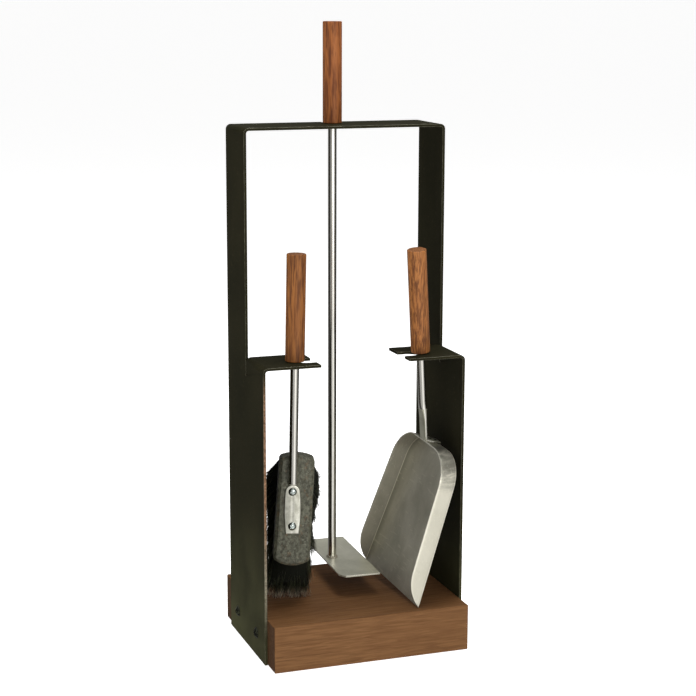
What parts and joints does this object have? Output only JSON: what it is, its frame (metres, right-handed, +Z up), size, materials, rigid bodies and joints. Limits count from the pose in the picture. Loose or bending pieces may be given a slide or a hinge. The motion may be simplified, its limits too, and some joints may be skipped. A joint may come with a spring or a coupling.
{
  "type": "fireplace tool set",
  "caption": "Free-standing fireplace tool set: bent steel stand on a wooden base block, holding a long scraper, a hand brush and a small shovel with wooden handles.",
  "frame": {"origin": "centre of the base block's underside, on the floor", "axes": "+X to the right seen from the front, +Y to the rear, +Z up"},
  "size_m": [0.2466, 0.2194, 0.7151],
  "materials": {
    "black_steel": "satin black-brown powder coat, worn lighter on the edges",
    "block_wood": "oiled dark reddish-brown hardwood, grain along the width",
    "black_screws": "black painted round-head screws",
    "scraper_wood": "oiled reddish hardwood, grain along the handle",
    "brush_wood": "oiled brown hardwood, grain along the handle",
    "shovel_wood": "oiled orange-brown hardwood, grain along the handle",
    "tube_steel": "bright polished tube",
    "blade_steel": "satin sheet steel with a bright ground edge",
    "weld_steel": "dull weld bead",
    "plate_steel": "satin, lightly scratched",
    "plated_screws": "bright plated",
    "brush_block_black": "black stained wood, worn grey on the face",
    "bristle": "black horsehair bristle",
    "pan_steel": "dull grey sheet steel, brighter outside"
  },
  "bodies": {
    "stand": {"base_block": "block_wood", "stand_frame": "black_steel", "screw_left_front": "black_screws", "screw_left_rear": "black_screws", "screw_right_front": "black_screws", "screw_right_rear": "black_screws"},
    "scraper": {"scraper_handle": "scraper_wood", "scraper_shaft": "tube_steel", "scraper_blade": "blade_steel", "scraper_weld": "weld_steel"},
    "brush": {"brush_handle": "brush_wood", "brush_shaft": "tube_steel", "brush_plate": "plate_steel", "brush_screw_upper": "plated_screws", "brush_screw_lower": "plated_screws", "brush_block": "brush_block_black", "brush_bristles_top": "bristle", "brush_bristles_middle": "bristle", "brush_bristles_bottom": "bristle"},
    "shovel": {"shovel_handle": "shovel_wood", "shovel_shaft": "tube_steel", "shovel_pan": "pan_steel", "shovel_rivet_upper": "plated_screws", "shovel_rivet_lower": "plated_screws"}
  },
  "joints": [
    {"name": "scraper_slide", "type": "slide", "parent": "stand", "child": "scraper", "axis": [0, 1, 0], "range_m": [0, 0.04]},
    {"name": "brush_lift", "type": "slide", "parent": "stand", "child": "brush", "axis": [0.0192, 0, 0.9998], "range_m": [0, 0.103]},
    {"name": "shovel_lift", "type": "slide", "parent": "stand", "child": "shovel", "axis": [-0.0902, -0.1028, 0.9906], "range_m": [0, 0.055]}
  ]
}
